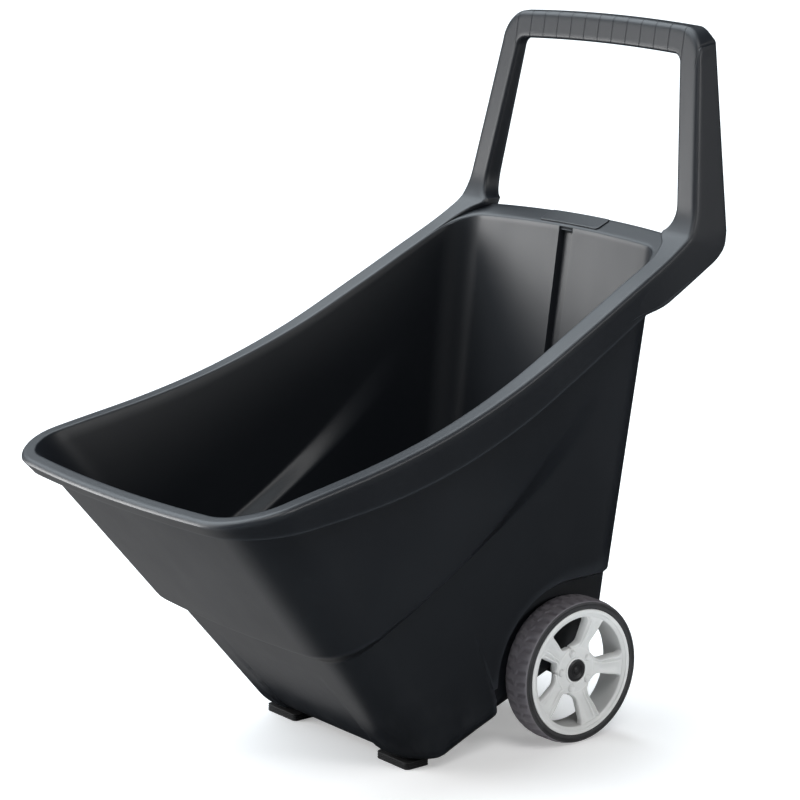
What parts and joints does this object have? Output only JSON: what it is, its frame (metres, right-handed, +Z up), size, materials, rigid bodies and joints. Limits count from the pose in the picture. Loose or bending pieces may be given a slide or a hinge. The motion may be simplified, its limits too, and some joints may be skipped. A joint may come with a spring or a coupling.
{
  "type": "garden cart",
  "caption": "Two-wheeled garden cart: a scoop-shaped moulded tub with a low front lip, a loop handle, tyred spoked wheels on a through axle and rubber feet.",
  "frame": {"origin": "on the floor, in the middle of the footprint", "axes": "+Z up; -Y towards the low front lip, +Y towards the handle; X along the axle, with the cart symmetric about X = 0"},
  "size_m": [0.484, 0.7509, 0.84],
  "materials": {
    "body": "fine-grained matt anthracite polypropylene with a slight blue cast",
    "silver_plastic": "satin silver-grey moulded plastic",
    "tyre": "dull black rubber-like tread with satin side rings",
    "foot_rubber": "matt black rubber",
    "black_plastic": "satin black moulded plastic",
    "bush_plastic": "natural white nylon",
    "steel": "zinc-plated steel"
  },
  "bodies": {
    "cart": {"tub": "body", "badge_plate": "body", "axle": "steel", "clamp_screw_1": "steel", "clamp_screw_2": "steel", "clamp_screw_3": "steel", "clamp_screw_4": "steel", "axle_clamp_right": "black_plastic", "foot_right": "foot_rubber", "wheel_spacer_right": "black_plastic", "axle_washer_right": "steel", "push_nut_right": "steel", "axle_clamp_left": "black_plastic", "foot_left": "foot_rubber", "wheel_spacer_left": "black_plastic", "axle_washer_left": "steel", "push_nut_left": "steel"},
    "wheel_right": {"tyre_right": "tyre", "wheel_rim_right": "silver_plastic", "hub_bush_right": "bush_plastic", "hub_cap_right": "black_plastic"},
    "wheel_left": {"tyre_left": "tyre", "wheel_rim_left": "silver_plastic", "hub_bush_left": "bush_plastic", "hub_cap_left": "black_plastic"}
  },
  "joints": [
    {"name": "wheel_right_spin", "type": "hinge", "parent": "cart", "child": "wheel_right", "pos_m": [0.1715, 0.162, 0.088], "axis": [1, 0, 0], "continuous": true},
    {"name": "wheel_left_spin", "type": "hinge", "parent": "cart", "child": "wheel_left", "pos_m": [-0.1715, 0.162, 0.088], "axis": [1, 0, 0], "continuous": true}
  ]
}
